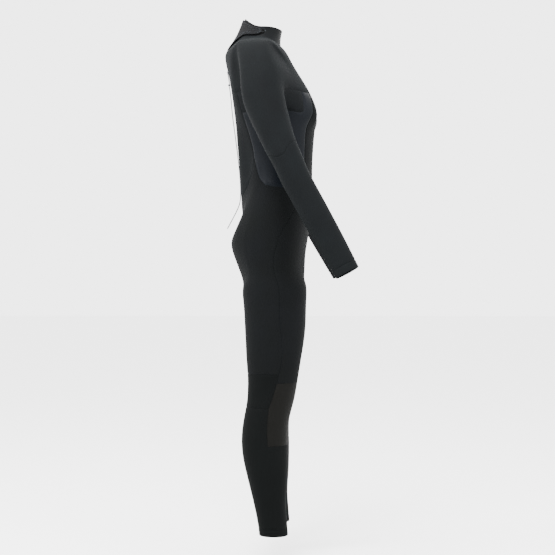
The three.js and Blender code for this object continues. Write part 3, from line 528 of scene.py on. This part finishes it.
# ---------- the closure at the collar ----------
def soften(node, material, body):
    """A small cloth piece of the frame with its cut edges rounded over, as thick fabric's are."""
    cloth = bmesh.new()
    cloth.from_mesh(NODES[node].data)
    bmesh.ops.remove_doubles(cloth, verts=cloth.verts, dist=1e-5)
    bmesh.ops.join_triangles(cloth, faces=cloth.faces, angle_face_threshold=math.radians(50),
                             angle_shape_threshold=math.radians(160))
    mesh = bpy.data.meshes.new(node)
    cloth.to_mesh(mesh)
    cloth.free()
    piece = new_piece(node + "_cloth", mesh, material)
    apply_modifier(piece, "SUBSURF", levels=2, render_levels=2)
    smooth_by_angle(piece, 60)
    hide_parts(node)
    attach(piece, body)


def seam_row(node, thickness, inset):
    """Points and normals along a row parallel to a piece's outline, inset from its edge."""
    skin = outer_skin(node, thickness)
    made = set(bmesh.ops.inset_region(skin, faces=skin.faces, thickness=inset, depth=0,
                                      use_boundary=True, use_even_offset=True)["faces"])
    skin.normal_update()
    links = {}
    for edge in skin.edges:
        if len(edge.link_faces) == 2 and (edge.link_faces[0] in made) != (edge.link_faces[1] in made):
            a, b = edge.verts
            links.setdefault(a, []).append(b)
            links.setdefault(b, []).append(a)
    start = min(links, key=lambda vert: vert.co.z)
    row, last, here = [start], start, links[start][0]
    while here is not start and len(row) < len(links):
        row.append(here)
        ahead = [vert for vert in links[here] if vert is not last]
        last, here = here, ahead[0]
    points = [(vert.co.copy(), vert.normal.copy()) for vert in row + [start]]
    skin.free()
    return points


def stitch_rows(name, rows, body):
    """Lockstitches as small threads half sunk in the cloth, one every few millimetres of each row."""
    stitches = bmesh.new()
    for row in rows:
        left = 0.0
        for (a, normal_a), (b, normal_b) in zip(row, row[1:]):
            run = (b - a).length
            while left < run:
                share = left / run
                way = (b - a).normalized()
                normal = normal_a.lerp(normal_b, share).normalized()
                side = normal.cross(way).normalized()
                turn = Matrix((way * STITCH_LENGTH / 2, side * STITCH_WIDTH / 2,
                               normal * STITCH_WIDTH / 2)).transposed()
                place = Matrix.Translation(a.lerp(b, share)) @ turn.to_4x4()
                bmesh.ops.create_uvsphere(stitches, u_segments=8, v_segments=5, radius=1, matrix=place)
                left += STITCH_PITCH
            left -= run
    for face in stitches.faces:
        face.smooth = True
    mesh = bpy.data.meshes.new(name)
    stitches.to_mesh(mesh)
    stitches.free()
    piece = new_piece(name, mesh, THREAD)
    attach(piece, body)


soften("collar_flap", LOOP, "closure_flap")
soften("hook_patch", WEBBING, "suit")
soften("zip_backing_flap", COLLAR_SKIN, "suit")
stitch_rows("flap_stitching",
            [seam_row("collar_flap", FLAP_THICKNESS, inset) for inset in FLAP_STITCH_ROWS], "closure_flap")


# ---------- floor and light ----------
def make_stage():
    """A pale flat floor, far enough away not to colour the suit."""
    bpy.ops.object.select_all(action="DESELECT")
    floor_z = CAD_BOX[0][2] - FLOOR_DROP
    bpy.ops.mesh.primitive_plane_add(size=40, location=(0, 0, floor_z))
    floor = bpy.context.object
    floor.name = "floor"
    material = bpy.data.materials.new("matt_white_floor")
    material.use_nodes = True
    principled = next(n for n in material.node_tree.nodes if n.type == "BSDF_PRINCIPLED")
    principled.inputs["Base Color"].default_value = linear("#f4f4f4")
    principled.inputs["Roughness"].default_value = 0.9
    floor.data.materials.append(material)


def soft_light(name, place, aim, size, power):
    data = bpy.data.lights.new(name, "AREA")
    data.shape = "RECTANGLE"
    data.size = size[0]
    data.size_y = size[1]
    data.energy = power
    light = bpy.data.objects.new(name, data)
    bpy.context.scene.collection.objects.link(light)
    light.location = place
    light.rotation_euler = (Vector(aim) - Vector(place)).to_track_quat("-Z", "Y").to_euler()


make_stage()
soft_light("key_overhead", (-1.6, 0.5, 2.4), (0, 0, 0.2), (1.4, 1.4), 260)
soft_light("back_edge", (-0.8, 2.8, 1.2), (0, 0, 0), (1.0, 1.8), 90)
soft_light("front_fill", (-1.8, -2.6, 0.8), (0, 0, -0.1), (1.4, 1.8), 70)
world = bpy.data.worlds.new("studio") if not bpy.context.scene.world else bpy.context.scene.world
bpy.context.scene.world = world
world.use_nodes = True
world.node_tree.nodes["Background"].inputs["Color"].default_value = (1, 1, 1, 1)
world.node_tree.nodes["Background"].inputs["Strength"].default_value = 4.2
